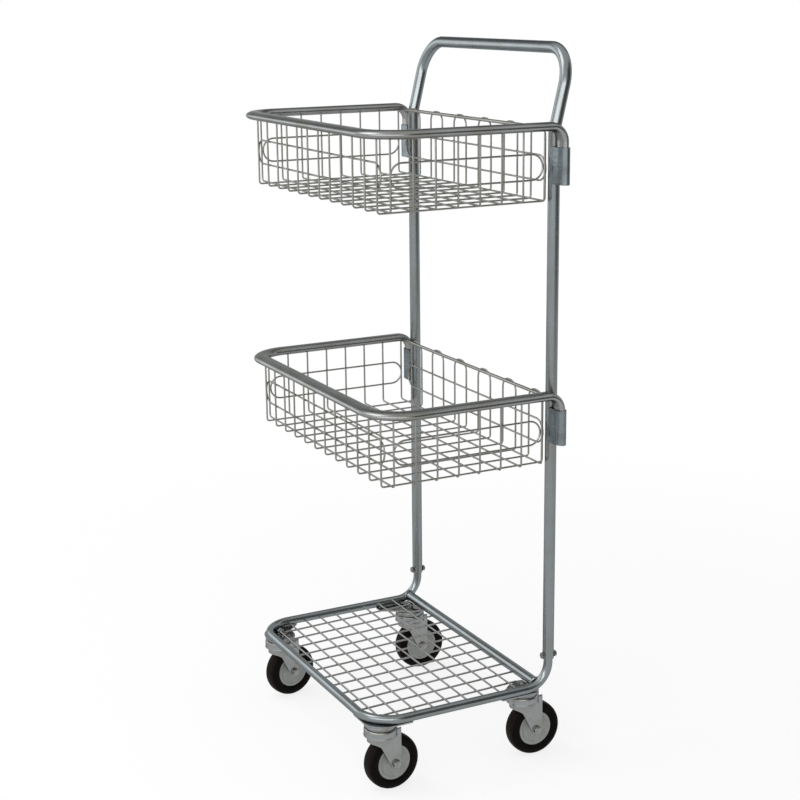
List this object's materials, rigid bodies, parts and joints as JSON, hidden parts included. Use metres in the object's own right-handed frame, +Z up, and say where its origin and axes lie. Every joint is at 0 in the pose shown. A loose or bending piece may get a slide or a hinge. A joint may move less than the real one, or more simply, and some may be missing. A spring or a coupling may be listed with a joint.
{
  "type": "document trolley",
  "caption": "Tubular steel push trolley on swivel castors, with a wire mesh base and lift-off wire baskets held beside the uprights.",
  "frame": {"origin": "on the floor, under the middle of the overall width and depth", "axes": "+Z up, +Y towards the person who pushes, +X to that person's left"},
  "size_m": [0.5852, 0.3963, 1.26],
  "materials": {
    "zinc_tube": "bluish zinc plate on drawn tube",
    "zinc_rim": "zinc plate on oval tube",
    "zinc_wire": "zinc plate on drawn wire",
    "pressed_zinc": "zinc plate on pressed sheet",
    "bolt_steel": "zinc plate on rolled bolts and nuts",
    "grey_plastic": "moulded, satin",
    "tyre": "black rubber, matt"
  },
  "bodies": {
    "chassis": {"push_frame": "zinc_tube", "base_frame": "zinc_tube", "rear_cross_tube": "zinc_tube", "base_mesh": "zinc_wire", "upright_bolt_left": "bolt_steel", "upright_nut_left": "bolt_steel", "corner_plate_front_left": "pressed_zinc", "corner_plate_rear_left": "pressed_zinc", "lower_basket_socket_left": "pressed_zinc", "upper_basket_socket_left": "pressed_zinc", "upright_bolt_right": "bolt_steel", "upright_nut_right": "bolt_steel", "corner_plate_front_right": "pressed_zinc", "corner_plate_rear_right": "pressed_zinc", "lower_basket_socket_right": "pressed_zinc", "upper_basket_socket_right": "pressed_zinc", "castor_front_left_head": "pressed_zinc", "castor_front_left_stem_nut": "bolt_steel", "castor_front_right_head": "pressed_zinc", "castor_front_right_stem_nut": "bolt_steel", "castor_rear_left_head": "pressed_zinc", "castor_rear_left_stem_nut": "bolt_steel", "castor_rear_right_head": "pressed_zinc", "castor_rear_right_stem_nut": "bolt_steel"},
    "lower_basket": {"lower_basket_rim": "zinc_rim", "lower_basket_wires": "zinc_wire", "lower_basket_rear_rod": "zinc_wire", "lower_basket_ring_front": "zinc_wire", "lower_basket_ring_rear": "zinc_wire", "lower_basket_ring_left": "zinc_wire", "lower_basket_ring_right": "zinc_wire"},
    "upper_basket": {"upper_basket_rim": "zinc_rim", "upper_basket_wires": "zinc_wire", "upper_basket_rear_rod": "zinc_wire", "upper_basket_ring_front": "zinc_wire", "upper_basket_ring_rear": "zinc_wire", "upper_basket_ring_left": "zinc_wire", "upper_basket_ring_right": "zinc_wire"},
    "castor_front_left_swivel": {"castor_front_left_fork": "pressed_zinc", "castor_front_left_axle_bolt": "bolt_steel", "castor_front_left_axle_nut": "bolt_steel"},
    "castor_front_left_roller": {"castor_front_left_wheel": "grey_plastic", "castor_front_left_tyre": "tyre"},
    "castor_front_right_swivel": {"castor_front_right_fork": "pressed_zinc", "castor_front_right_axle_bolt": "bolt_steel", "castor_front_right_axle_nut": "bolt_steel"},
    "castor_front_right_roller": {"castor_front_right_wheel": "grey_plastic", "castor_front_right_tyre": "tyre"},
    "castor_rear_left_swivel": {"castor_rear_left_fork": "pressed_zinc", "castor_rear_left_axle_bolt": "bolt_steel", "castor_rear_left_axle_nut": "bolt_steel"},
    "castor_rear_left_roller": {"castor_rear_left_wheel": "grey_plastic", "castor_rear_left_tyre": "tyre"},
    "castor_rear_right_swivel": {"castor_rear_right_fork": "pressed_zinc", "castor_rear_right_axle_bolt": "bolt_steel", "castor_rear_right_axle_nut": "bolt_steel"},
    "castor_rear_right_roller": {"castor_rear_right_wheel": "grey_plastic", "castor_rear_right_tyre": "tyre"}
  },
  "joints": [
    {"name": "lower_basket_lift", "type": "slide", "parent": "chassis", "child": "lower_basket", "axis": [0, 0, 1], "range_m": [0, 0.07]},
    {"name": "upper_basket_lift", "type": "slide", "parent": "chassis", "child": "upper_basket", "axis": [0, 0, 1], "range_m": [0, 0.07]},
    {"name": "castor_front_left_turn", "type": "hinge", "parent": "chassis", "child": "castor_front_left_swivel", "pos_m": [0.22, -0.1625, 0.111], "axis": [0, 0, 1], "continuous": true},
    {"name": "castor_front_left_roll", "type": "hinge", "parent": "castor_front_left_swivel", "child": "castor_front_left_roller", "pos_m": [0.2186, -0.14255, 0.05], "axis": [0.9976, 0.0698, 0], "continuous": true},
    {"name": "castor_front_right_turn", "type": "hinge", "parent": "chassis", "child": "castor_front_right_swivel", "pos_m": [-0.22, -0.1625, 0.111], "axis": [0, 0, 1], "continuous": true},
    {"name": "castor_front_right_roll", "type": "hinge", "parent": "castor_front_right_swivel", "child": "castor_front_right_roller", "pos_m": [-0.22347, -0.1428, 0.05], "axis": [0.9848, 0.1736, 0], "continuous": true},
    {"name": "castor_rear_left_turn", "type": "hinge", "parent": "chassis", "child": "castor_rear_left_swivel", "pos_m": [0.22, 0.1225, 0.111], "axis": [0, 0, 1], "continuous": true},
    {"name": "castor_rear_left_roll", "type": "hinge", "parent": "castor_rear_left_swivel", "child": "castor_rear_left_roller", "pos_m": [0.22052, 0.14249, 0.05], "axis": [0.9997, -0.0262, 0], "continuous": true},
    {"name": "castor_rear_right_turn", "type": "hinge", "parent": "chassis", "child": "castor_rear_right_swivel", "pos_m": [-0.22, 0.1225, 0.111], "axis": [0, 0, 1], "continuous": true},
    {"name": "castor_rear_right_roll", "type": "hinge", "parent": "castor_rear_right_swivel", "child": "castor_rear_right_roller", "pos_m": [-0.2193, 0.14249, 0.05], "axis": [0.9994, -0.0349, 0], "continuous": true}
  ]
}
